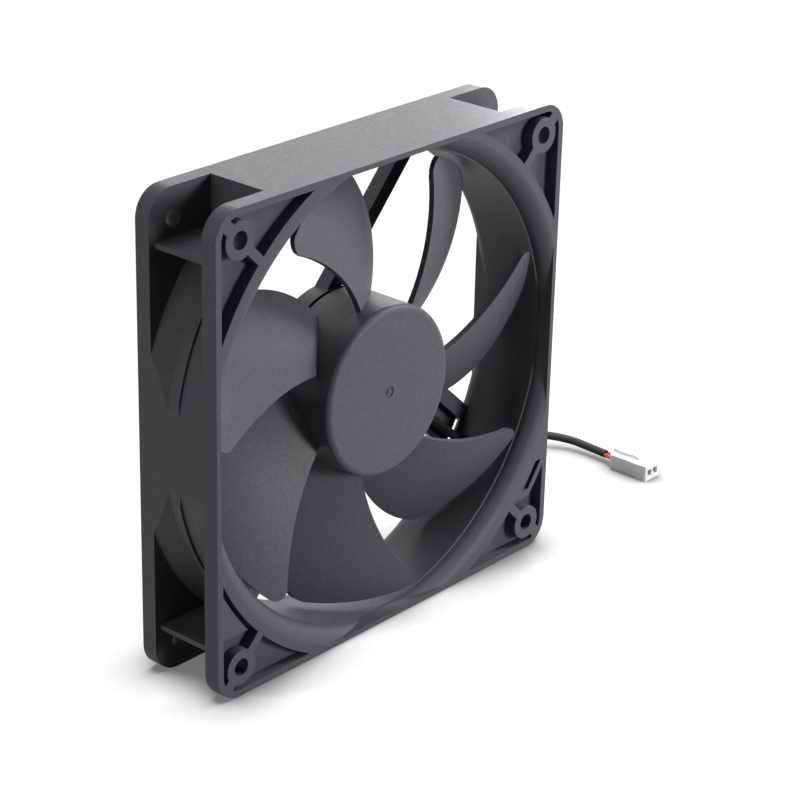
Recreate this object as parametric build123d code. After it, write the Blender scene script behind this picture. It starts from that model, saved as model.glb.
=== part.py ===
from build123d import *
import math
import os

# Axial fan, 120 mm square and 25 mm deep, standing on its lower edge.
# +Z is up, +X is to the right seen from the intake side and -Y is the intake side.
# Each piece is drawn in a local frame on the fan's axis: x to the right, y up, z to the intake.

# Frame
FAN_SIDE = 120.0
FAN_DEPTH = 25.0
CORNER_RADIUS = 7.0
FLANGE_THICKNESS = 4.3
HOLE_INSET = 7.5
HOLE_DIAMETER = 4.4
BOSS_DIAMETER = 9.0
RIM_WIDTH = 1.7
POCKET_DEPTH = 3.0
POCKET_WALL = 2.2
BOSS_RIB_WIDTH = 2.3
BOSS_RIB_OVERLAP = 1.0
CORNER_WEB_WIDTH = 3.0
TOP_WALL_INSET = 19.1
CORNER_WALL_INSET = 12.5
CORNER_WALL_THICKNESS = 1.3

# Solid plates in the two lower corners of the front flange
LEFT_PLATE_TOP = 30.6
LEFT_PLATE_BOTTOM = 16.6
LEFT_PLATE_WIDTH = 14.0
LEFT_SLOT_WIDTH = 1.3
RIGHT_PLATE_TOP = 31.0
RIGHT_PLATE_BOTTOM = 15.0
RIGHT_PLATE_WIDTH = 17.0
RIGHT_PLATE_REACH = 4.3
LEAD_SLOT_START = 0.9
LEAD_SLOT_WIDTH = 1.8
LEAD_SLOT_TOP = 24.0
LEAD_SLOT_BOTTOM = 17.0
LEAD_SLOT_LENGTH = 9.5

# Air duct
THROAT_INSET = 1.5
DUCT_WALL = 2.25
THROAT_STEP = 0.7
MOUTH_FLARE = 4.5
MOUTH_DEPTH = 4.0
MOUTH_EDGE = 1.3
OUTLET_FLARE = 4.0
OUTLET_DEPTH = 4.5
OUTER_FLARE = 3.2
OUTER_FLARE_DEPTH = 5.2
MID_RIB_HEIGHT = 0.65
MID_RIB_WIDTH = 1.2

# Struts and motor base
STRUT_COUNT = 4
STRUT_ANGLE = 48.0
STRUT_OFFSET = 13.85
STRUT_WIDTH = 4.0
STRUT_DEPTH = 4.0
CHANNEL_WIDTH = 8.2
CHANNEL_FLOOR = 1.2
CHANNEL_LIP = 1.2
CHANNEL_LIP_HEIGHT = 2.4
BASE_WALL = 1.5
BASE_FLOOR = 1.5
BASE_SLEEVE_WALL = 1.3
BOARD_LEDGE_WIDTH = 1.6

# Impeller
BLADE_COUNT = 7
TIP_GAP = 1.5
BLADE_THICKNESS = 1.3
BLADE_ANGLE = 129.1
BLADE_ROOT_LEAD = -24.1
BLADE_ROOT_TRAIL = -59.3
BLADE_TIP_TRAIL = -33.2
BLADE_TRAIL_BOW = -9.4
BLADE_ROOT_SETBACK = 7.7
BLADE_TIP_SETBACK = 2.4
BLADE_CAMBER = 0.32
BLADE_LEAD_ROUND = 3.0
BLADE_TRAIL_ROUND = 7.0
BLADE_OVERRUN = 2.0
BLADE_POINTS = 4
BLADE_STEP = 0.05
STRUT_CLEARANCE = 4.7
HUB_RADIUS = 21.5
HUB_WALL = 1.3
HUB_FACE = 1.5
HUB_SETBACK = 2.25
HUB_EDGE_ROUND = 1.5
GATE_RADIUS = 1.5
GATE_PIP_RADIUS = 0.7
GATE_DEPTH = 0.25
ROTOR_GAP = 1.0

# Rotor metal
YOKE_WALL = 0.8
MAGNET_WALL = 2.0
MAGNET_HEADROOM = 3.45
MAGNET_SETBACK = 1.0
SHAFT_RADIUS = 1.5
BUSHING_RADIUS = 3.5
BUSHING_LENGTH = 1.6
CLIP_RADIUS = 2.8
CLIP_THICKNESS = 0.4
CLIP_GROOVE = 0.35
CLIP_MOUTH = 2.4
SHIM_RADIUS = 2.4
SHIM_THICKNESS = 0.2
SHAFT_TAIL = 0.35

# Sleeve bearing
BEARING_RADIUS = 4.0
BEARING_CHAMFER = 0.4
THRUST_WASHER = 0.3
THRUST_RADIUS = 3.0
OIL_RING_RADIUS = 2.6
OIL_RING_LENGTH = 0.8
TUBE_WALL = 0.9

# Stator
AIR_GAP = 0.55
POLE_COUNT = 4
CORE_LENGTH = 6.5
CORE_RING_WALL = 1.9
POLE_NECK = 4.4
POLE_SHOE = 1.8
POLE_GAP_ANGLE = 14.0
INSULATOR_THICKNESS = 0.8
INSULATOR_INSET = 0.1
INSULATOR_LIP = 2.6
COIL_WALL = 2.0
COIL_ROOM = 0.15
COIL_INSET = 0.6
PIN_RADIUS = 0.35
PIN_TAIL = 0.6
PIN_COUNT = 3

# Circuit board
BOARD_THICKNESS = 1.0
BOARD_CLEARANCE = 0.25
BOARD_ROOM = 1.5
BOARD_SETBACK = 0.5
HALL_SIZE = (3.0, 1.5, 1.9)
CHIP_SIZE = (5.0, 4.0, 1.3)
CHIP_RADIUS = 11.5
CHIP_ANGLE = 100.0
CAPACITOR_SIZE = (2.0, 1.25, 1.1)
CAPACITOR_RADIUS = 12.0
CAPACITOR_ANGLES = (150.0, 170.0)

# Lead
WIRE_DIAMETER = 1.1
SLEEVE_DIAMETER = 2.3
LEAD_INSET = 4.65
PORT_CLEARANCE = 0.5
PORT_INSET = 2.5
PORT_REACH = 3.75
PORT_SINK = 0.8
PORT_HEIGHT = 4.0
NOTCH_CLEARANCE = 1.0
NOTCH_REACH = 5.0
SLEEVE_REACH = 21.5
SLEEVE_LIFT = 0.1
SLEEVE_RISE = 1.6
SLEEVE_RUN = 12.0
WIRE_INSIDE = 9.5
WIRE_OUTSIDE = 2.5
END_GAP = 0.15
PLUG_SIZE = (6.4, 12.5, 4.6)
PLUG_CORNER = 0.5
PLUG_RIDGE = (2.6, 8.5, 1.2)
PLUG_PITCH = 2.5
PLUG_CELL = 1.9
PLUG_CELL_DEPTH = 9.0
CONTACT_SETBACK = 0.8
CONTACT_WALL = 0.25
WIRE_TAIL = 3.6
PLUG_X = 110.0
PLUG_BACK = 1.0

# Clearances
SLIP = 0.03
SEAT = 0.05

HALF = FAN_SIDE / 2
HALF_DEPTH = FAN_DEPTH / 2
HOLE_REACH = HALF - HOLE_INSET
FLANGE_INNER = HALF_DEPTH - FLANGE_THICKNESS
THROAT_RADIUS = HALF - THROAT_INSET
DUCT_RADIUS = THROAT_RADIUS + DUCT_WALL
MOUTH_RADIUS = THROAT_RADIUS + MOUTH_FLARE
OUTLET_RADIUS = THROAT_RADIUS + OUTLET_FLARE
POCKET_RADIUS = MOUTH_RADIUS + POCKET_WALL
BASE_RADIUS = HUB_RADIUS
BASE_REAR = -HALF_DEPTH
BASE_INNER = BASE_REAR + BASE_FLOOR
BOARD_REAR = BASE_INNER + BOARD_ROOM
BOARD_FRONT = BOARD_REAR + BOARD_THICKNESS
BASE_FRONT = BOARD_FRONT + BOARD_SETBACK
HUB_FRONT = HALF_DEPTH - HUB_SETBACK
HUB_INSIDE = HUB_FRONT - HUB_FACE
HUB_REAR = BASE_FRONT + ROTOR_GAP
BLADE_TIP_RADIUS = THROAT_RADIUS - TIP_GAP
BLADE_ROOT_FRONT = HALF_DEPTH - BLADE_ROOT_SETBACK
BLADE_TIP_FRONT = HALF_DEPTH - BLADE_TIP_SETBACK
BLADE_REAR = BASE_REAR + STRUT_DEPTH + STRUT_CLEARANCE
YOKE_RADIUS = HUB_RADIUS - HUB_WALL - SEAT
MAGNET_RADIUS = YOKE_RADIUS - YOKE_WALL - SEAT
MAGNET_REAR = HUB_REAR + MAGNET_SETBACK
MAGNET_FRONT = HUB_INSIDE - YOKE_WALL - MAGNET_HEADROOM
STATOR_RADIUS = MAGNET_RADIUS - MAGNET_WALL - AIR_GAP
TUBE_RADIUS = BEARING_RADIUS + SLIP + TUBE_WALL
SLEEVE_RADIUS = TUBE_RADIUS + SLIP + BASE_SLEEVE_WALL
SHAFT_END = BASE_INNER + SHAFT_TAIL
BEARING_BOTTOM = SHAFT_END + CLIP_GROOVE + CLIP_THICKNESS + SHIM_THICKNESS + 3 * SEAT
BEARING_TOP = HUB_INSIDE - BUSHING_LENGTH - OIL_RING_LENGTH - THRUST_WASHER - 3 * SEAT
TUBE_TOP = BEARING_TOP + THRUST_WASHER + OIL_RING_LENGTH / 2
CORE_MIDDLE = (MAGNET_REAR + MAGNET_FRONT) / 2
CORE_FRONT = CORE_MIDDLE + CORE_LENGTH / 2
CORE_REAR = CORE_MIDDLE - CORE_LENGTH / 2
INSULATOR_REAR = CORE_REAR - SEAT - INSULATOR_THICKNESS
BOARD_RADIUS = BASE_RADIUS - BASE_WALL - BOARD_CLEARANCE
PIN_CIRCLE = STATOR_RADIUS - POLE_SHOE / 2
LEAD_ANGLE = STRUT_ANGLE - 90.0
LEAD_OFFSET = STRUT_OFFSET - STRUT_WIDTH / 2 - LEAD_INSET
PORT_END = DUCT_RADIUS + PORT_REACH
PORT_BOTTOM = -FLANGE_INNER - PORT_SINK
SLEEVE_START = BASE_RADIUS + SLEEVE_REACH
SLEEVE_START_HEIGHT = BASE_REAR + CHANNEL_FLOOR + SLEEVE_DIAMETER / 2 + SLEEVE_LIFT
SLEEVE_EXIT_HEIGHT = -FLANGE_INNER + SLEEVE_RISE
WIRE_SIDE = WIRE_DIAMETER / 2 + SLIP

FAN_PLANE = Plane(origin=(0, 0, HALF), x_dir=(1, 0, 0), z_dir=(0, -1, 0))


def save(name, shape):
    """Place a piece in the part's frame and write it."""
    placed = shape.moved(FAN_PLANE.location)
    placed.label = name
    export_step(placed, f"parts/{name}.step")


def at_z(z):
    """A plane across the axis at height z."""
    return Plane.XY.offset(z)


def ring(outer, inner, bottom, top):
    """A plain ring round the axis."""
    profile = at_z(bottom) * (Circle(outer) - Circle(inner))
    return extrude(profile, top - bottom)


def disc(radius, bottom, top):
    """A plain disc on the axis."""
    return extrude(at_z(bottom) * Circle(radius), top - bottom)


def slab(width, height, bottom, top):
    """A rectangular block centred on the axis."""
    return extrude(at_z(bottom) * Rectangle(width, height), top - bottom)


def polar(radius, angle):
    """A point of the local plane by radius and angle in degrees."""
    turn = math.radians(angle)
    return (radius * math.cos(turn), radius * math.sin(turn))


def turned(shape, angle):
    """A copy turned about the axis."""
    return shape.rotate(Axis.Z, angle)


def revolved(*points):
    """A solid of revolution from radius and height pairs."""
    outline = [(radius, 0, height) for radius, height in points]
    face = make_face(Polyline(*outline, close=True))
    return revolve(face, Axis.Z)


# Housing

def flange(bottom):
    """One rounded square flange."""
    square = RectangleRounded(FAN_SIDE, FAN_SIDE, CORNER_RADIUS)
    return extrude(at_z(bottom) * square, FLANGE_THICKNESS)


def duct_bore():
    """The air passage: bell mouth, step, throat and outlet flare."""
    mouth_end = HALF_DEPTH - MOUTH_DEPTH
    outlet_end = -HALF_DEPTH + OUTLET_DEPTH
    step = THROAT_RADIUS + THROAT_STEP
    wall = [
        Line((0, 0, HALF_DEPTH), (MOUTH_RADIUS, 0, HALF_DEPTH)),
        TangentArc((step, 0, mouth_end), (MOUTH_RADIUS, 0, HALF_DEPTH), tangent=(0, 0, 1)),
        Polyline((step, 0, mouth_end), (THROAT_RADIUS, 0, mouth_end),
                 (THROAT_RADIUS, 0, outlet_end), (step, 0, outlet_end)),
        TangentArc((step, 0, outlet_end), (OUTLET_RADIUS, 0, -HALF_DEPTH), tangent=(0, 0, -1)),
        Polyline((OUTLET_RADIUS, 0, -HALF_DEPTH), (0, 0, -HALF_DEPTH), (0, 0, HALF_DEPTH)),
    ]
    passage = revolve(make_face(wall), Axis.Z)
    width = FAN_SIDE - 2 * MOUTH_EDGE
    return passage & slab(width, width, -HALF_DEPTH, HALF_DEPTH)


def duct_wall():
    """The barrel with its mid rib and flare, the flat walls and the corner walls."""
    barrel = disc(DUCT_RADIUS, -HALF_DEPTH, HALF_DEPTH)
    barrel += disc(DUCT_RADIUS + MID_RIB_HEIGHT, -MID_RIB_WIDTH / 2, MID_RIB_WIDTH / 2)
    flare_top = -FLANGE_INNER + OUTER_FLARE_DEPTH
    barrel += revolved((0, -FLANGE_INNER), (DUCT_RADIUS + OUTER_FLARE, -FLANGE_INNER),
                       (DUCT_RADIUS, flare_top), (0, flare_top))
    barrel &= slab(FAN_SIDE, FAN_SIDE, -HALF_DEPTH, HALF_DEPTH)
    walls = barrel + slab(FAN_SIDE - 2 * TOP_WALL_INSET, FAN_SIDE, -FLANGE_INNER, FLANGE_INNER)
    web = slab(FAN_SIDE - 2 * RIM_WIDTH, CORNER_WALL_THICKNESS, -FLANGE_INNER, FLANGE_INNER)
    for side in (-1, 1):
        walls += web.moved(Location((0, side * (HALF - CORNER_WALL_INSET), 0)))
    return walls


def corner_pockets():
    """The outline of the four recessed corners of a flange."""
    inner = FAN_SIDE - 2 * RIM_WIDTH
    area = RectangleRounded(inner, inner, CORNER_RADIUS - RIM_WIDTH) - Circle(POCKET_RADIUS)
    reach = HOLE_REACH * math.sqrt(2)
    boss = Circle(BOSS_DIAMETER / 2)
    for corner in range(4):
        angle = 45.0 + 90.0 * corner
        middle = polar((POCKET_RADIUS + reach) / 2, angle)
        rib = Rectangle(reach - POCKET_RADIUS + 2 * BOSS_RIB_OVERLAP, BOSS_RIB_WIDTH)
        web = Rectangle(BOSS_DIAMETER, CORNER_WEB_WIDTH)
        area -= Location(polar(reach, angle)) * boss
        area -= Location((*middle, 0), (0, 0, angle)) * rib
        area -= Location((*polar(reach + BOSS_DIAMETER / 2, angle), 0), (0, 0, angle)) * web
    return area


def corner_window(width, bottom, top, side):
    """A rectangle on the left or right edge, between two heights above the lower edge."""
    middle = (side * (HALF - width / 2), (bottom + top) / 2 - HALF)
    return Location(middle) * Rectangle(width, top - bottom)


def front_pockets():
    """The pockets of the front flange, with solid plates in the two lower corners."""
    left_plate = corner_window(LEFT_PLATE_WIDTH, LEFT_PLATE_BOTTOM, LEFT_PLATE_TOP, -1)
    left_plate -= Circle(POCKET_RADIUS + LEFT_SLOT_WIDTH)
    right_plate = corner_window(RIGHT_PLATE_WIDTH, RIGHT_PLATE_BOTTOM, RIGHT_PLATE_TOP, 1)
    right_plate &= Circle(POCKET_RADIUS + RIGHT_PLATE_REACH)
    slot = Circle(POCKET_RADIUS + LEAD_SLOT_START + LEAD_SLOT_WIDTH)
    slot -= Circle(POCKET_RADIUS + LEAD_SLOT_START)
    slot &= corner_window(LEAD_SLOT_LENGTH, LEAD_SLOT_BOTTOM, LEAD_SLOT_TOP, 1)
    return corner_pockets() - left_plate - right_plate + slot


def screw_holes():
    """Drills for the four screw holes."""
    drill = disc(HOLE_DIAMETER / 2, -HALF_DEPTH, HALF_DEPTH)
    sides = (-HOLE_REACH, HOLE_REACH)
    return [drill.moved(Location((x, y, 0))) for x in sides for y in sides]


def struts():
    """Four tangential struts from the motor base to the barrel."""
    length = DUCT_RADIUS - DUCT_WALL / 2
    rear = at_z(BASE_REAR)
    arms = []
    for index in range(STRUT_COUNT):
        angle = STRUT_ANGLE + 90.0 * index
        strip = Location((length / 2, STRUT_OFFSET)) * Rectangle(length, STRUT_WIDTH)
        arm = extrude(rear * strip, STRUT_DEPTH)
        arms.append(turned(arm, angle))
    keep = ring(DUCT_RADIUS - DUCT_WALL / 2, BASE_RADIUS - BASE_WALL / 2, BASE_REAR, BASE_FRONT)
    return [arm & keep for arm in arms]


def lead_channel():
    """The floor and lip beside one strut that carry the lead."""
    length = DUCT_RADIUS - DUCT_WALL / 2
    edge = STRUT_OFFSET - STRUT_WIDTH / 2
    floor = Location((length / 2, edge - CHANNEL_WIDTH / 2)) * Rectangle(length, CHANNEL_WIDTH)
    lip = Location((length / 2, edge - CHANNEL_WIDTH + CHANNEL_LIP / 2)) * Rectangle(length, CHANNEL_LIP)
    tray = extrude(at_z(BASE_REAR) * floor, CHANNEL_FLOOR)
    tray += extrude(at_z(BASE_REAR) * lip, CHANNEL_LIP_HEIGHT)
    keep = ring(DUCT_RADIUS - DUCT_WALL / 2, BASE_RADIUS - BASE_WALL / 2, BASE_REAR, BASE_FRONT)
    return turned(tray, LEAD_ANGLE) & keep


def lead_port():
    """The cut that lets the lead through the base wall and the barrel."""
    width = SLEEVE_DIAMETER + 2 * PORT_CLEARANCE
    start = THROAT_RADIUS - PORT_INSET
    passage = Location(((start + PORT_END) / 2, LEAD_OFFSET)) * Rectangle(PORT_END - start, width)
    barrel_cut = extrude(at_z(PORT_BOTTOM) * passage, PORT_HEIGHT)
    notch = Rectangle(2 * NOTCH_REACH, SLEEVE_DIAMETER + 2 * NOTCH_CLEARANCE)
    notch = Location((BASE_RADIUS - BASE_WALL, LEAD_OFFSET)) * notch
    base_cut = extrude(at_z(BASE_INNER) * notch, BASE_FRONT - BASE_INNER)
    return turned(barrel_cut + base_cut, LEAD_ANGLE)


def motor_base():
    """The rear cup that carries the bearing tube and the board."""
    cup = disc(BASE_RADIUS, BASE_REAR, BASE_FRONT)
    cup -= disc(BASE_RADIUS - BASE_WALL, BASE_INNER, BASE_FRONT)
    ledge_radius = BASE_RADIUS - BASE_WALL
    cup += ring(ledge_radius, ledge_radius - BOARD_LEDGE_WIDTH, BASE_INNER, BOARD_REAR)
    cup += ring(SLEEVE_RADIUS, TUBE_RADIUS + SLIP, BASE_INNER, INSULATOR_REAR - SEAT)
    return cup


def housing():
    """The moulded frame: flanges, duct, struts and motor base in one piece."""
    body = flange(FLANGE_INNER) + flange(-HALF_DEPTH) + duct_wall()
    body -= duct_bore()
    body -= extrude(at_z(HALF_DEPTH - POCKET_DEPTH) * front_pockets(), POCKET_DEPTH)
    body -= extrude(at_z(-HALF_DEPTH) * corner_pockets(), POCKET_DEPTH)
    body -= screw_holes()
    body += struts()
    body += lead_channel()
    body += motor_base()
    return body - lead_port()


# Impeller

def blade_point(radius, share):
    """A point of a blade's middle surface, share 0 at the leading edge."""
    span = (radius - HUB_RADIUS) / (BLADE_TIP_RADIUS - HUB_RADIUS)
    lead = BLADE_ROOT_LEAD * (1 - span)
    trail = BLADE_ROOT_TRAIL * (1 - span) + BLADE_TIP_TRAIL * span + BLADE_TRAIL_BOW * span * (1 - span)
    front = BLADE_ROOT_FRONT + (BLADE_TIP_FRONT - BLADE_ROOT_FRONT) * span
    fall = share - BLADE_CAMBER * share * (1 - share)
    x, y = polar(radius, BLADE_ANGLE + lead + (trail - lead) * share)
    return Vector(x, y, front + (BLADE_REAR - front) * fall)


def tip_round(share, size):
    """The cutter that rounds a corner of the blade's tip, share 0 for the leading one."""
    tip = blade_point(BLADE_TIP_RADIUS, share)
    inward = blade_point(BLADE_TIP_RADIUS - size, share)
    along = blade_point(BLADE_TIP_RADIUS, abs(share - BLADE_STEP))
    corner = Vector(tip.X, tip.Y)
    along_edge = (Vector(inward.X, inward.Y) - corner).normalized()
    along_tip = (Vector(along.X, along.Y) - corner).normalized()
    bisector = (along_edge + along_tip).normalized()
    half_angle = math.radians(along_edge.get_angle(along_tip)) / 2
    centre = corner + bisector * (size / math.sin(half_angle))
    reach = size / math.tan(half_angle)
    margin = bisector * 2 * BLADE_THICKNESS
    ends = [corner + along_edge * reach, corner + along_tip * reach]
    outline = Polyline(corner - margin, ends[0] - margin, ends[0], centre,
                       ends[1], ends[1] - margin, close=True)
    wedge = make_face(outline) - Location(centre) * Circle(size)
    return extrude(wedge, FAN_DEPTH / 2, both=True)


def blade():
    """One twisted blade between the hub wall and the tip circle."""
    start = HUB_RADIUS - HUB_WALL - BLADE_OVERRUN
    length = BLADE_TIP_RADIUS + BLADE_OVERRUN - start
    radii = [start + length * step / (BLADE_POINTS - 1) for step in range(BLADE_POINTS)]
    shares = [step / (BLADE_POINTS - 1) for step in range(BLADE_POINTS)]
    rows = [[blade_point(radius, share) for share in shares] for radius in radii]
    middle = Face.make_surface_from_array_of_points(rows)
    body = thicken(middle, BLADE_THICKNESS / 2, both=True)
    body &= ring(BLADE_TIP_RADIUS, HUB_RADIUS - HUB_WALL / 2, -FAN_DEPTH, FAN_DEPTH)
    return body - tip_round(0, BLADE_LEAD_ROUND) - tip_round(1, BLADE_TRAIL_ROUND)


def hub_cup():
    """The hub: a rounded cup with the small round mark of its moulding gate."""
    cup = disc(HUB_RADIUS, HUB_REAR, HUB_FRONT)
    rim = cup.edges().group_by(Axis.Z)[-1]
    cup = fillet(rim, HUB_EDGE_ROUND)
    cup -= disc(HUB_RADIUS - HUB_WALL, HUB_REAR, HUB_INSIDE)
    return cup - ring(GATE_RADIUS, GATE_PIP_RADIUS, HUB_FRONT - GATE_DEPTH, HUB_FRONT)


def impeller():
    """Hub and blades, moulded in one piece."""
    first = blade()
    body = hub_cup()
    for index in range(BLADE_COUNT):
        body += turned(first, 360.0 * index / BLADE_COUNT)
    return body


# Rotor metal

def rotor_yoke():
    """The steel cup inside the hub."""
    cup = disc(YOKE_RADIUS, HUB_REAR, HUB_INSIDE)
    cup -= disc(YOKE_RADIUS - YOKE_WALL, HUB_REAR, HUB_INSIDE - YOKE_WALL)
    return cup - disc(BUSHING_RADIUS + SEAT, HUB_REAR, HUB_INSIDE)


def magnet_ring():
    """The ring magnet inside the yoke."""
    return ring(MAGNET_RADIUS, MAGNET_RADIUS - MAGNET_WALL, MAGNET_REAR, MAGNET_FRONT)


def shaft_bushing():
    """The brass bushing that ties the shaft to the hub."""
    return ring(BUSHING_RADIUS, SHAFT_RADIUS + SLIP, HUB_INSIDE - BUSHING_LENGTH, HUB_INSIDE)


def shaft():
    """The steel shaft with its clip groove."""
    rod = disc(SHAFT_RADIUS, SHAFT_END, HUB_INSIDE)
    low = SHAFT_END + CLIP_GROOVE
    return rod - ring(2 * SHAFT_RADIUS, SHAFT_RADIUS - CLIP_GROOVE, low, low + CLIP_THICKNESS + SLIP)


def retaining_clip():
    """The open clip in the shaft's groove."""
    low = SHAFT_END + CLIP_GROOVE + SLIP / 2
    body = ring(CLIP_RADIUS, SHAFT_RADIUS - CLIP_GROOVE + SLIP, low, low + CLIP_THICKNESS)
    mouth = Location((CLIP_RADIUS, 0)) * Rectangle(2 * CLIP_RADIUS, CLIP_MOUTH)
    return body - extrude(at_z(low) * mouth, CLIP_THICKNESS)


def shim_washer():
    """The thin washer between the clip and the bearing."""
    top = BEARING_BOTTOM - SEAT
    return ring(SHIM_RADIUS, SHAFT_RADIUS + SLIP, top - SHIM_THICKNESS, top)


def oil_ring():
    """The ring under the bushing that throws oil back to the bearing."""
    low = BEARING_TOP + THRUST_WASHER + 2 * SEAT
    return ring(OIL_RING_RADIUS, SHAFT_RADIUS + SLIP, low, low + OIL_RING_LENGTH)


# Sleeve bearing

def sleeve_bearing():
    """The sintered bronze sleeve that the shaft turns in."""
    body = ring(BEARING_RADIUS, SHAFT_RADIUS + SLIP, BEARING_BOTTOM, BEARING_TOP)
    ends = body.edges().filter_by(GeomType.CIRCLE)
    outer = ends.filter_by(lambda edge: edge.radius > BEARING_RADIUS - SLIP)
    return chamfer(outer, BEARING_CHAMFER)


def thrust_washer():
    """The plastic washer on the front end of the bearing."""
    low = BEARING_TOP + SEAT
    return ring(THRUST_RADIUS, SHAFT_RADIUS + SLIP, low, low + THRUST_WASHER)


def bearing_tube():
    """The brass tube that holds the bearing and carries the stator."""
    return ring(TUBE_RADIUS, BEARING_RADIUS + SLIP, BASE_INNER, TUBE_TOP)


# Stator

def pole_outline(margin):
    """The cross of four poles, drawn in by a margin."""
    hub = Circle(TUBE_RADIUS + SLIP + CORE_RING_WALL)
    gap_width = STATOR_RADIUS * math.radians(POLE_GAP_ANGLE)
    shoes = Circle(STATOR_RADIUS - margin) - Circle(STATOR_RADIUS - POLE_SHOE + margin)
    outline = hub
    for index in range(POLE_COUNT):
        angle = 360.0 * index / POLE_COUNT + 45.0
        neck = Rectangle(STATOR_RADIUS - 2 * margin, POLE_NECK - 2 * margin)
        neck = Location((STATOR_RADIUS / 2, 0)) * neck
        outline += Rot(0, 0, angle) * neck
        gap = Location((STATOR_RADIUS, 0)) * Rectangle(3 * POLE_SHOE, gap_width)
        shoes -= Rot(0, 0, angle + 180.0 / POLE_COUNT) * gap
    outline = outline + shoes
    return (outline & Circle(STATOR_RADIUS - margin)) - Circle(TUBE_RADIUS + SLIP)


def stator_core():
    """The stack of laminations."""
    return extrude(at_z(CORE_REAR) * pole_outline(0.0), CORE_LENGTH)


def insulator(face, direction):
    """A moulded end plate on the core, with a lip behind each coil."""
    outline = pole_outline(INSULATOR_INSET)
    plate = extrude(at_z(face) * outline, direction * INSULATOR_THICKNESS)
    lips = outline - Circle(STATOR_RADIUS - POLE_SHOE + INSULATOR_INSET)
    return plate + extrude(at_z(face) * lips, direction * INSULATOR_LIP)


def windings():
    """One copper coil round the neck of each pole."""
    inner = TUBE_RADIUS + SLIP + CORE_RING_WALL + COIL_INSET
    height = CORE_LENGTH + 2 * (INSULATOR_THICKNESS + COIL_ROOM)
    width = POLE_NECK + 2 * COIL_ROOM
    outer = math.sqrt((STATOR_RADIUS - POLE_SHOE) ** 2 - (width / 2 + COIL_WALL) ** 2) - COIL_ROOM
    section = RectangleRounded(width + 2 * COIL_WALL, height + 2 * COIL_WALL, COIL_WALL)
    section -= Rectangle(width, height)
    plane = Plane(origin=(inner, 0, CORE_MIDDLE), x_dir=(0, 1, 0), z_dir=(1, 0, 0))
    coil = extrude(plane * section, outer - inner)
    turns = [turned(coil, 45.0 + 360.0 * index / POLE_COUNT) for index in range(POLE_COUNT)]
    return Compound([turn.solid() for turn in turns])


def pin_places():
    """Where the winding pins stand."""
    return [polar(PIN_CIRCLE, 45.0 + 360.0 * index / POLE_COUNT) for index in range(PIN_COUNT)]


def terminal_pins():
    """The pins that join the windings to the board."""
    top = CORE_REAR - SEAT - INSULATOR_LIP
    pin = disc(PIN_RADIUS, BOARD_REAR - PIN_TAIL, top)
    pins = [pin.moved(Location((x, y, 0))) for x, y in pin_places()]
    return Compound([pin.solid() for pin in pins])


# Circuit board

def circuit_board():
    """The round board on the ledge of the motor base."""
    board = ring(BOARD_RADIUS, SLEEVE_RADIUS + BOARD_CLEARANCE, BOARD_REAR, BOARD_FRONT)
    for x, y in pin_places():
        hole = disc(PIN_RADIUS + SEAT, BOARD_REAR, BOARD_FRONT)
        board -= hole.moved(Location((x, y, 0)))
    return board


def on_board(size, radius, angle, bottom):
    """A block on the board, with its first side along the radius."""
    block = extrude(at_z(bottom) * (Location((radius, 0)) * Rectangle(size[1], size[0])), size[2])
    return turned(block, angle)


def hall_sensor():
    """The sensor that faces the magnet."""
    return on_board(HALL_SIZE, MAGNET_RADIUS - MAGNET_WALL / 2, 0.0, BOARD_FRONT)


def driver_chip():
    """The driver chip on the rear of the board."""
    return on_board(CHIP_SIZE, CHIP_RADIUS, CHIP_ANGLE, BOARD_REAR - CHIP_SIZE[2])


def capacitors():
    """Two small capacitors on the rear of the board."""
    low = BOARD_REAR - CAPACITOR_SIZE[2]
    blocks = [on_board(CAPACITOR_SIZE, CAPACITOR_RADIUS, angle, low) for angle in CAPACITOR_ANGLES]
    return Compound([block.solid() for block in blocks])


# Lead

def lead_point(along, height, side=0.0):
    """A point of the held lead in the part's own frame."""
    turn = math.radians(LEAD_ANGLE)
    offset = LEAD_OFFSET + side
    x = along * math.cos(turn) - offset * math.sin(turn)
    y = along * math.sin(turn) + offset * math.cos(turn)
    return Vector(x, -height, y + HALF)


def tube(path, diameter):
    """A round tube along a path."""
    return sweep(Plane(origin=path @ 0, z_dir=path % 0) * Circle(diameter / 2), path=path)


def corner_radii(points):
    """The largest even arc at each corner of a route."""
    radii = []
    for before, corner, after in zip(points, points[1:], points[2:]):
        arriving = corner - before
        leaving = after - corner
        half_turn = math.radians(arriving.get_angle(leaving)) / 2
        radii.append(0.45 * min(arriving.length, leaving.length) / math.tan(half_turn))
    return radii


def held_wire(side):
    """One wire from the board to the start of the sleeve."""
    board_height = BOARD_REAR - WIRE_DIAMETER / 2 - SEAT
    points = [
        lead_point(BASE_RADIUS - WIRE_INSIDE, board_height, side),
        lead_point(BASE_RADIUS + WIRE_OUTSIDE, board_height, side),
        lead_point(SLEEVE_START - END_GAP, SLEEVE_START_HEIGHT, side),
    ]
    return tube(FilletPolyline(*points, radius=corner_radii(points)), WIRE_DIAMETER)


def held_sleeve():
    """The sleeve from the strut channel through the barrel's port."""
    start = lead_point(SLEEVE_START, SLEEVE_START_HEIGHT)
    return tube(Line(start, lead_point(PORT_END, SLEEVE_EXIT_HEIGHT)), SLEEVE_DIAMETER)


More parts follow.
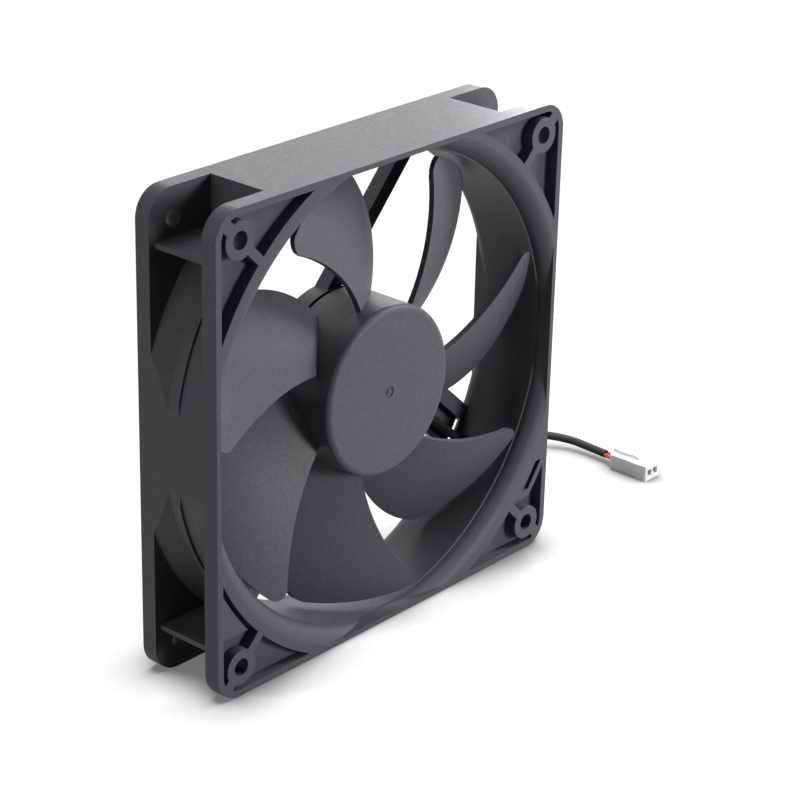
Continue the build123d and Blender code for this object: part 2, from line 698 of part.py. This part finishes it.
PLUG_LEAD_HEIGHT = PLUG_SIZE[2] / 2
SLEEVE_END = Vector(PLUG_X, PLUG_BACK + WIRE_TAIL, PLUG_LEAD_HEIGHT)
LEAD_SLOPE = (SLEEVE_EXIT_HEIGHT - SLEEVE_START_HEIGHT) / (PORT_END - SLEEVE_START)
LEAD_ROUTE = [
    lead_point(PORT_END, SLEEVE_EXIT_HEIGHT),
    lead_point(PORT_END + SLEEVE_RUN, SLEEVE_EXIT_HEIGHT + SLEEVE_RUN * LEAD_SLOPE),
    Vector(72.1, 14.1, 8.0),
    Vector(81.1, 20.4, 5.4),
    Vector(88.9, 26.2, 4.6),
    Vector(97.4, 27.9, 4.2),
    Vector(105.2, 24.9, 3.7),
    Vector(109.8, 17.6, 2.9),
    Vector(110.3, 10.8, 2.4),
    SLEEVE_END,
]


def wire_tail(side):
    """One bare wire between the sleeve and the plug."""
    start = SLEEVE_END + Vector(side * WIRE_SIDE, -END_GAP, 0)
    end = Vector(PLUG_X + side * PLUG_PITCH / 2, PLUG_BACK + END_GAP, PLUG_LEAD_HEIGHT)
    return tube(Line(start, end), WIRE_DIAMETER)


def plug_housing():
    """The two-way plug, lying on the floor, with its ridge on top."""
    width, length, height = PLUG_SIZE
    middle = PLUG_BACK - length / 2
    body = extrude(Plane((PLUG_X, middle, 0)) * RectangleRounded(width, length, PLUG_CORNER), height)
    ridge_width, ridge_length, ridge_height = PLUG_RIDGE
    ridge_middle = PLUG_BACK - ridge_length / 2
    ridge = Plane((PLUG_X, ridge_middle, height)) * Rectangle(ridge_width, ridge_length)
    body += extrude(ridge, ridge_height)
    front = Plane(origin=(PLUG_X, PLUG_BACK - length, PLUG_LEAD_HEIGHT), x_dir=(1, 0, 0), z_dir=(0, -1, 0))
    for side in (-1, 1):
        cell = front * Location((side * PLUG_PITCH / 2, 0)) * Rectangle(PLUG_CELL, PLUG_CELL)
        body -= extrude(cell, -PLUG_CELL_DEPTH)
    return body


def plug_contacts():
    """The two socket contacts inside the plug."""
    width = PLUG_CELL - 2 * SEAT
    front = PLUG_BACK - PLUG_SIZE[1] + CONTACT_SETBACK
    length = PLUG_CELL_DEPTH - CONTACT_SETBACK
    blades = []
    for side in (-1, 1):
        plane = Plane(origin=(PLUG_X + side * PLUG_PITCH / 2, front, PLUG_LEAD_HEIGHT),
                      x_dir=(1, 0, 0), z_dir=(0, -1, 0))
        section = Rectangle(width, width) - Rectangle(width - 2 * CONTACT_WALL, width - 2 * CONTACT_WALL)
        blades.append(extrude(plane * section, -length).solid())
    return Compound(blades)


def save_in_place(name, shape):
    """Write a piece that is already in the part's own frame."""
    shape.label = name
    export_step(shape, f"parts/{name}.step")


os.makedirs("parts", exist_ok=True)

save("housing", housing())
save("bearing_tube", bearing_tube())
save("stator_core", stator_core())
save("front_insulator", insulator(CORE_FRONT + SEAT, 1))
save("rear_insulator", insulator(CORE_REAR - SEAT, -1))
save("windings", windings())
save("terminal_pins", terminal_pins())
save("circuit_board", circuit_board())
save("hall_sensor", hall_sensor())
save("driver_chip", driver_chip())
save("capacitors", capacitors())
save("impeller", impeller())
save("rotor_yoke", rotor_yoke())
save("magnet_ring", magnet_ring())
save("shaft_bushing", shaft_bushing())
save("shaft", shaft())
save("retaining_clip", retaining_clip())
save("shim_washer", shim_washer())
save("oil_ring", oil_ring())
save("sleeve_bearing", sleeve_bearing())
save("thrust_washer", thrust_washer())

save_in_place("red_wire", held_wire(WIRE_SIDE))
save_in_place("black_wire", held_wire(-WIRE_SIDE))
save_in_place("lead_sleeve_held", held_sleeve())
radii = corner_radii(LEAD_ROUTE)
print("lead radii", [round(radius, 1) for radius in radii])
save_in_place("lead_sleeve", tube(FilletPolyline(*LEAD_ROUTE, radius=radii), SLEEVE_DIAMETER))
save_in_place("red_wire_tail", wire_tail(-1))
save_in_place("black_wire_tail", wire_tail(1))
save_in_place("plug_housing", plug_housing())
save_in_place("plug_contacts", plug_contacts())
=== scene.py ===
import bpy
import math
from mathutils import Matrix, Vector


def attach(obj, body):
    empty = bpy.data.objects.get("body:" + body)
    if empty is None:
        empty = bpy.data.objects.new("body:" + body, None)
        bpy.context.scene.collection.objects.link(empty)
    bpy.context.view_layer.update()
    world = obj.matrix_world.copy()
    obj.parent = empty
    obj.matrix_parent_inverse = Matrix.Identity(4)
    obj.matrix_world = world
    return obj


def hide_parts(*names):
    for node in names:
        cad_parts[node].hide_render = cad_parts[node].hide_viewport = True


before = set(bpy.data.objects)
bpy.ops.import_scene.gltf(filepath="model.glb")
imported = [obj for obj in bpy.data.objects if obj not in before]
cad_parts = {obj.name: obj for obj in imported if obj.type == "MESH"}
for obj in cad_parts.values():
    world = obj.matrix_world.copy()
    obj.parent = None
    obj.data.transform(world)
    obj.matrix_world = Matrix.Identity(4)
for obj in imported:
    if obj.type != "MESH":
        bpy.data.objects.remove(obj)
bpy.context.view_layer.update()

# Camera
# A product shot from the left of the intake side and a little above, with a long lens.
# Its place, turn and lens were fitted to the frame's edges in the photograph.
sensor_width_mm = 36.0
lens_mm = 114.85
nearest_m, farthest_m = 0.05, 20.0
camera_place = (-0.4202, -0.3764, 0.3020)
camera_right = Vector((0.6608, -0.7502, 0.0227))
camera_up = Vector((0.2873, 0.2808, 0.9158))
camera_back = Vector((-0.6934, -0.5987, 0.4011))
camera_data = bpy.data.cameras.new("camera")
camera_data.sensor_fit = "HORIZONTAL"
camera_data.sensor_width = sensor_width_mm
camera_data.lens = lens_mm
camera_data.clip_start = nearest_m
camera_data.clip_end = farthest_m
camera = bpy.data.objects.new("camera", camera_data)
camera_turn = Matrix((camera_right, camera_up, camera_back)).transposed()
camera.matrix_world = Matrix.Translation(camera_place) @ camera_turn.to_4x4()
bpy.context.scene.collection.objects.link(camera)
bpy.context.scene.camera = camera
bpy.context.scene.view_settings.view_transform = "Standard"


# Lead sleeve
# The two wires leave the frame between its flanges in one black heat-shrunk sleeve.
# It drops behind the fan to the floor and comes round to the plug at the right.
MM = 0.001
MM_IN_A_METRE = 1000.0
MIX_FIRST, MIX_SECOND, MIX_RESULT = 6, 7, 2  # the colour sockets of a Mix node

sleeve_diameter = 2.3 * MM
sleeve_route = [
    (52.75, 6.60, 22.19), (61.67, 4.67, 14.16), (72.1, 14.1, 8.0), (81.1, 20.4, 5.4),
    (88.9, 26.2, 4.6), (97.4, 27.9, 4.2), (105.2, 24.9, 3.7), (109.8, 17.6, 2.9),
    (110.3, 10.8, 2.4), (110.0, 4.6, 2.3),
]


def colour(text):
    """An sRGB hex colour as linear red, green, blue and alpha."""
    values = [int(text[place:place + 2], 16) / 255 for place in (0, 2, 4)]
    linear = [v / 12.92 if v <= 0.04045 else ((v + 0.055) / 1.055) ** 2.4 for v in values]
    return (*linear, 1.0)


def add(material, kind, settings=(), links=()):
    """Adds one node, with its settings and its links by a socket's name or number."""
    node = material.node_tree.nodes.new(kind)
    for name, value in dict(settings).items():
        if isinstance(name, int) or name in node.inputs:
            node.inputs[name].default_value = value
        else:
            setattr(node, name, value)
    for name, source in dict(links).items():
        material.node_tree.links.new(source, node.inputs[name])
    return node


def material_named(name):
    """An empty node material and its output."""
    material = bpy.data.materials.new(name)
    material.use_nodes = True
    material.node_tree.nodes.clear()
    return material, add(material, "ShaderNodeOutputMaterial")


def surface(material, output, shader):
    """Links a shader to the material's surface."""
    material.node_tree.links.new(shader.outputs[0], output.inputs["Surface"])


def dress(piece, material):
    """Gives a piece this one material."""
    piece.data.materials.clear()
    piece.data.materials.append(material)


def moulded(name, base, dark, roughness, grain_mm, bump, mottle=0.35, mottle_mm=1.2,
            gloss=0.5):
    """Moulded plastic: a fine spark-eroded grain and a faint mottle from the melt's flow.

    The mottle runs from the base tone towards the dark one by the share that it names, and
    gloss is the level of the mirrored light.
    """
    grain_height_m = 0.00003
    roughness_spread = 0.05
    grain_detail = 3.0
    flow_detail, flow_roughness = 4.0, 0.6
    tint_low, tint_high = 0.35, 0.65
    rough_low, rough_high = 0.3, 0.7
    material, output = material_named(name)
    place = add(material, "ShaderNodeTexCoord").outputs["Object"]
    grain = add(material, "ShaderNodeTexNoise",
                {"Scale": MM_IN_A_METRE / grain_mm, "Detail": grain_detail},
                {"Vector": place})
    flow = add(material, "ShaderNodeTexNoise",
               {"Scale": MM_IN_A_METRE / mottle_mm, "Detail": flow_detail,
                "Roughness": flow_roughness},
               {"Vector": place})
    share = add(material, "ShaderNodeMapRange",
                {"From Min": tint_low, "From Max": tint_high, "To Min": 0.0, "To Max": mottle},
                {"Value": flow.outputs["Fac"]})
    tint = add(material, "ShaderNodeMix",
               {"data_type": "RGBA", MIX_FIRST: colour(base), MIX_SECOND: colour(dark)},
               {"Factor": share.outputs[0]})
    rough = add(material, "ShaderNodeMapRange",
                {"From Min": rough_low, "From Max": rough_high,
                 "To Min": roughness - roughness_spread, "To Max": roughness + roughness_spread},
                {"Value": flow.outputs["Fac"]})
    relief = add(material, "ShaderNodeBump", {"Strength": bump, "Distance": grain_height_m},
                 {"Height": grain.outputs["Fac"]})
    shader = add(material, "ShaderNodeBsdfPrincipled", {"IOR": 1.5, "Specular IOR Level": gloss},
                 {"Base Color": tint.outputs[MIX_RESULT], "Roughness": rough.outputs[0],
                  "Normal": relief.outputs[0]})
    surface(material, output, shader)
    return material


def route_curve(name, points, diameter):
    """A round cord along one smooth spline whose control points are the route's points."""
    data = bpy.data.curves.new(name, "CURVE")
    data.dimensions = "3D"
    data.bevel_depth = diameter / 2
    data.bevel_resolution = 5
    data.resolution_u = 12
    data.use_fill_caps = True
    spline = data.splines.new("NURBS")
    spline.points.add(len(points) - 1)
    for point, place in zip(spline.points, points):
        point.co = (*[value * MM for value in place], 1.0)
    spline.order_u = 3
    spline.use_endpoint_u = True
    piece = bpy.data.objects.new(name, data)
    bpy.context.scene.collection.objects.link(piece)
    return piece


sleeve = route_curve("sleeve", sleeve_route, sleeve_diameter)
# Shrunk polyolefin is nearly black and satin, with a soft, low gloss along its length.
shrink_tube = moulded("heat_shrunk_polyolefin", "2c2c2e", "222224", roughness=0.6, grain_mm=0.5,
                      bump=0.3, gloss=0.12)
dress(sleeve, shrink_tube)
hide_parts("lead_sleeve")
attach(sleeve, "frame")

# Frame
# One charcoal-black glass-filled plastic moulding: flanges, duct, struts and motor base
# come out of the tool together. Its matt spark-eroded faces read as a dark, dry grey with
# a grain that just shows, and their gloss is low, so that the recesses stay dark.
frame_plastic = moulded("moulded_frame_plastic", "515055", "48474c", roughness=0.5,
                        grain_mm=0.35, bump=0.25, mottle=0.5, mottle_mm=0.9, gloss=0.16)
dress(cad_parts["housing"], frame_plastic)

# Impeller
# Hub and blades are one moulding in the same family of plastic, a shade lighter.
# It is slightly smoother, with a faint cloudy mottle on the blades where the melt cooled.
impeller_plastic = moulded("moulded_impeller_plastic", "555459", "49484d", roughness=0.48,
                           grain_mm=0.5, bump=0.2, mottle=0.6, mottle_mm=0.9, gloss=0.18)
dress(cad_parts["impeller"], impeller_plastic)


# Motor metal
# Drawn and turned steel, brass and bronze parts inside the hub, and the plug's contacts.
# The motor's parts show only through the gap at the rear of the hub.
def metal(name, tone, roughness, grain_mm):
    """Bare metal with a fine turned grain in its roughness."""
    grain_detail = 2.0
    roughness_spread = 0.08
    material, output = material_named(name)
    place = add(material, "ShaderNodeTexCoord").outputs["Object"]
    grain = add(material, "ShaderNodeTexNoise",
                {"Scale": MM_IN_A_METRE / grain_mm, "Detail": grain_detail}, {"Vector": place})
    rough = add(material, "ShaderNodeMapRange",
                {"To Min": roughness - roughness_spread, "To Max": roughness + roughness_spread},
                {"Value": grain.outputs["Fac"]})
    shader = add(material, "ShaderNodeBsdfPrincipled",
                 {"Base Color": colour(tone), "Metallic": 1.0}, {"Roughness": rough.outputs[0]})
    surface(material, output, shader)
    return material


# Ground steel is bright, the zinc plate a greyer satin, and the stamped sheet dull.
steel = metal("ground_steel", "c9c9cb", roughness=0.28, grain_mm=0.3)
plated = metal("zinc_plated_steel", "a9abad", roughness=0.4, grain_mm=0.6)
laminated = metal("silicon_steel_sheet", "6f7072", roughness=0.5, grain_mm=0.5)
# Turned brass is bright yellow, and the porous bearing bronze brown and dull.
brass = metal("turned_brass", "d2b26a", roughness=0.3, grain_mm=0.3)
bronze = metal("sintered_bronze", "a8794a", roughness=0.55, grain_mm=0.2)
# Enamel gives the copper its orange gloss, and tin is pale and slightly soft.
copper = metal("enamelled_copper", "c06a35", roughness=0.32, grain_mm=0.25)
tin = metal("tinned_contact", "cfcfcd", roughness=0.3, grain_mm=0.3)
for node_name, finish in {
        "shaft": steel, "retaining_clip": steel, "shim_washer": steel, "rotor_yoke": plated,
        "stator_core": laminated, "bearing_tube": brass, "shaft_bushing": brass,
        "sleeve_bearing": bronze, "windings": copper, "terminal_pins": tin,
        "plug_contacts": tin}.items():
    dress(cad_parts[node_name], finish)

# Insulators and small plastics
# Natural nylon washers and end plates, the bonded magnet and the board with its parts.
# All sit inside the hub and the motor base.
# Nylon is a warm satin white, and the bonded ferrite a rough black with a fine grit.
nylon = moulded("natural_nylon", "dcd9cc", "cfcbbb", roughness=0.45, grain_mm=0.5, bump=0.15)
magnet_bond = moulded("bonded_ferrite", "2c2a2a", "242222", roughness=0.6, grain_mm=0.2,
                      bump=0.4)
# The board's mask is a glossy green, and its parts are matt black epoxy and tan ceramic.
board_mask = moulded("solder_mask", "1f5a2b", "194a24", roughness=0.35, grain_mm=0.8, bump=0.1)
epoxy = moulded("moulded_epoxy", "1a1a1b", "141415", roughness=0.5, grain_mm=0.3, bump=0.3)
ceramic = moulded("fired_ceramic", "9a7a52", "8a6b46", roughness=0.5, grain_mm=0.3, bump=0.2)
for node_name, finish in {
        "thrust_washer": nylon, "oil_ring": nylon, "front_insulator": nylon,
        "rear_insulator": nylon, "magnet_ring": magnet_bond, "circuit_board": board_mask,
        "hall_sensor": epoxy, "driver_chip": epoxy, "capacitors": ceramic}.items():
    dress(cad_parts[node_name], finish)

# Wires
# Red and black stranded wires in extruded insulation, which is smooth and glossy.
# They lie in the strut's channel and show again just behind the plug.
red_insulation = moulded("red_pvc", "c01818", "a81212", roughness=0.3, grain_mm=0.8, bump=0.1)
black_insulation = moulded("black_pvc", "1c1c1d", "151516", roughness=0.3, grain_mm=0.8,
                           bump=0.1)
for node_name, finish in {
        "red_wire": red_insulation, "red_wire_tail": red_insulation,
        "black_wire": black_insulation, "black_wire_tail": black_insulation,
        "lead_sleeve_held": shrink_tube}.items():
    dress(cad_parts[node_name], finish)

# Plug
# A two-way crimp housing moulded in white nylon, with a ridge along its top.
# Light goes a little way into it, which softens its edges, and its white is faintly cloudy.
plug_cloud_mm = 2.5
plug_cloud_detail = 2.0
plug_light_depth_m = 0.001
plug_light_tint = (1.0, 0.95, 0.9)
plug_nylon, plug_output = material_named("white_nylon_66")
plug_place = add(plug_nylon, "ShaderNodeTexCoord").outputs["Object"]
plug_cloud = add(plug_nylon, "ShaderNodeTexNoise",
                 {"Scale": MM_IN_A_METRE / plug_cloud_mm, "Detail": plug_cloud_detail},
                 {"Vector": plug_place})
plug_tint = add(plug_nylon, "ShaderNodeMix",
                {"data_type": "RGBA", MIX_FIRST: colour("e6e7e9"), MIX_SECOND: colour("dfe0e2")},
                {"Factor": plug_cloud.outputs["Fac"]})
plug_shader = add(plug_nylon, "ShaderNodeBsdfPrincipled",
                  {"Roughness": 0.35, "IOR": 1.53, "Subsurface Weight": 0.5,
                   "Subsurface Radius": plug_light_tint, "Subsurface Scale": plug_light_depth_m},
                  {"Base Color": plug_tint.outputs[MIX_RESULT]})
surface(plug_nylon, plug_output, plug_shader)
dress(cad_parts["plug_housing"], plug_nylon)

# Floor
# A plain white studio floor. What the camera and mirrored rays see of it glows white, with a
# painted contact shadow where that glow dims close round what stands on it, and a matt share
# that takes the lamps' shadows. Every other ray meets a mid grey, so that little light comes
# back up into the recesses.
floor_width_m = 12.0
# Reach, samples and depth of the painted contact shadow in the floor's glow.
painted_shadow_reach_m = 14.0 * MM
contact_samples = 24
contact_closed = 0.5
painted_shadow_glow, open_glow = 0.15, 0.97
bpy.ops.object.select_all(action="DESELECT")
bpy.ops.mesh.primitive_plane_add(size=floor_width_m, location=(0, 0, 0))
floor = bpy.context.active_object
floor.name = "floor"


def shown(material):
    """One on camera, glossy and transmission rays, which see the studio's white, else zero."""
    ray = add(material, "ShaderNodeLightPath")
    mirrored = add(material, "ShaderNodeMath", {"operation": "MAXIMUM"},
                   {0: ray.outputs["Is Glossy Ray"], 1: ray.outputs["Is Transmission Ray"]})
    either = add(material, "ShaderNodeMath", {"operation": "MAXIMUM"},
                 {0: ray.outputs["Is Camera Ray"], 1: mirrored.outputs[0]})
    return either.outputs[0]


floor_paint, floor_output = material_named("white_sweep")
floor_shown = shown(floor_paint)
floor_bounce = add(floor_paint, "ShaderNodeBsdfDiffuse", {"Color": colour("707070")})
floor_matt = add(floor_paint, "ShaderNodeBsdfDiffuse", {"Color": colour("505050")})
# Ambient occlusion dims the white glow near the object: a painted contact shadow.
painted_contact_shadow = add(floor_paint, "ShaderNodeAmbientOcclusion",
                 {"Distance": painted_shadow_reach_m, "samples": contact_samples})
floor_level = add(floor_paint, "ShaderNodeMapRange",
                  {"From Min": contact_closed, "To Min": painted_shadow_glow, "To Max": open_glow},
                  {"Value": painted_contact_shadow.outputs["AO"]})
floor_glow = add(floor_paint, "ShaderNodeEmission", {"Color": colour("ffffff")},
                 {"Strength": floor_level.outputs[0]})
floor_sum = add(floor_paint, "ShaderNodeAddShader",
                links={0: floor_matt.outputs[0], 1: floor_glow.outputs[0]})
floor_mix = add(floor_paint, "ShaderNodeMixShader",
                links={"Fac": floor_shown, 1: floor_bounce.outputs[0], 2: floor_sum.outputs[0]})
surface(floor_paint, floor_output, floor_mix)
dress(floor, floor_paint)


# Lamps
# Square softboxes: a low key at the front right for the hub and the blades, a small near
# one at the right for the rims, a weak fill at the left for the side wall, two behind that
# give the flat top its sheen, and a small one over the plug.
def softbox(name, place, width, level, target=(0.0, 0.0, 0.06)):
    """A square area lamp that lights a white face turned to it to this share of white."""
    aim = Vector(target) - Vector(place)
    data = bpy.data.lights.new(name, "AREA")
    data.size = width
    data.energy = level * (math.pi * aim.length) ** 2
    lamp = bpy.data.objects.new(name, data)
    lamp.location = place
    lamp.rotation_euler = aim.to_track_quat("-Z", "Y").to_euler()
    bpy.context.scene.collection.objects.link(lamp)


softbox("front_key", (0.39, -1.07, 0.22), width=0.3, level=0.68)
softbox("side_key", (0.3, -0.14, 0.28), width=0.14, level=0.95)
softbox("left_fill", (-1.1, 0.1, 0.36), width=0.5, level=0.3)
softbox("rear_sheen", (0.8, 0.7, 0.5), width=0.5, level=0.3)
softbox("rear_top", (0.0, 0.45, 1.1), width=0.5, level=0.35)
softbox("plug_light", (0.12, 0.02, 0.13), width=0.06, level=2.0, target=(0.11, 0.0, 0.004))

# Studio
# White walls all round, which the camera and mirrored rays see at full strength.
# Only a trace of their light falls on the object itself, so the lamps shape it.
walls_seen, walls_felt = 1.0, 0.02
world = bpy.data.worlds.new("studio")
world.use_nodes = True
bpy.context.scene.world = world
walls_level = add(world, "ShaderNodeMapRange", {"To Min": walls_felt, "To Max": walls_seen},
                  {"Value": shown(world)})
walls = world.node_tree.nodes["Background"]
walls.inputs["Color"].default_value = colour("ffffff")
world.node_tree.links.new(walls_level.outputs[0], walls.inputs["Strength"])
